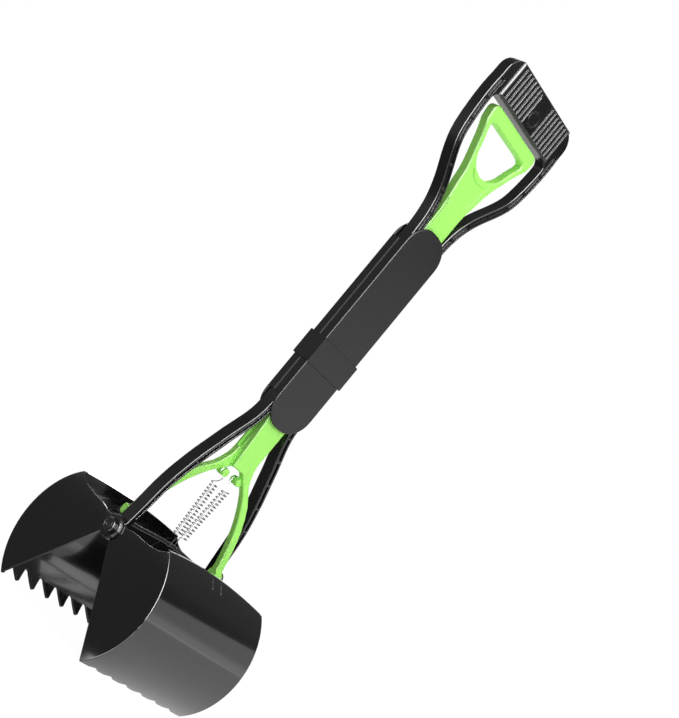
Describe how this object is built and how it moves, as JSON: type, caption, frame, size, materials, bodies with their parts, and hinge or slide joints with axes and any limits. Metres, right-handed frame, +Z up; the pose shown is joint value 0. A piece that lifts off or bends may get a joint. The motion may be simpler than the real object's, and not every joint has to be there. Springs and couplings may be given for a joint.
{
  "type": "pooper scooper",
  "caption": "Long-handled pet waste scooper: D handle with a squeeze trigger, two-part shaft, pull fork, return springs and hinged jaws with a rake edge and a scalloped edge.",
  "frame": {"origin": "centre of the footprint, on the surface that the open jaws stand on", "axes": "+Z up along the shaft to the grip, X along the jaws' hinge axis, -Y towards the scalloped front jaw"},
  "size_m": [0.1716, 0.2166, 0.711],
  "materials": {
    "gloss_black": "glossy moulded black",
    "satin_black": "satin dark grey-black",
    "lime_green": "bright lime green",
    "spring_steel": "bright wire"
  },
  "bodies": {
    "frame": {"handle_frame": "gloss_black", "upper_front_cover": "satin_black", "upper_rear_cover": "satin_black", "lower_frame": "gloss_black", "lower_front_cover": "satin_black", "lower_rear_cover": "satin_black", "upper_screw_left": "spring_steel", "upper_screw_right": "spring_steel", "lower_screw_left": "spring_steel", "lower_screw_right": "spring_steel", "hinge_pin_left": "gloss_black", "hinge_pin_right": "gloss_black", "hinge_clip_left": "satin_black", "hinge_clip_right": "satin_black", "spring_bar": "gloss_black", "spring_left": "spring_steel", "spring_right": "spring_steel"},
    "pull": {"trigger": "lime_green", "pull_fork": "lime_green", "link_pin": "spring_steel"},
    "front_scoop": {"front_jaw": "gloss_black"},
    "rear_scoop": {"rear_jaw": "gloss_black"},
    "collar": {"locking_collar": "satin_black"}
  },
  "joints": [
    {"name": "trigger_slide", "type": "slide", "parent": "frame", "child": "pull", "axis": [0, 0, 1], "range_m": [-0.015, 0], "stiffness_N_per_m": 300, "springref_m": -0.018, "deforming": ["spring_left", "spring_right"]},
    {"name": "front_jaw_hinge", "type": "hinge", "parent": "frame", "child": "front_scoop", "pos_m": [0, 0, 0.10633], "axis": [1, 0, 0], "range_deg": [0, 36]},
    {"name": "rear_jaw_hinge", "type": "hinge", "parent": "frame", "child": "rear_scoop", "pos_m": [0, 0, 0.10633], "axis": [1, 0, 0], "range_deg": [-36, 0]},
    {"name": "collar_slide", "type": "slide", "parent": "frame", "child": "collar", "axis": [0, 0, 1], "range_m": [0, 0.06]}
  ],
  "couplings": [
    {"joint": "front_jaw_hinge", "follows": "trigger_slide", "rad_per_m": -41.88},
    {"joint": "rear_jaw_hinge", "follows": "trigger_slide", "rad_per_m": 41.88}
  ]
}
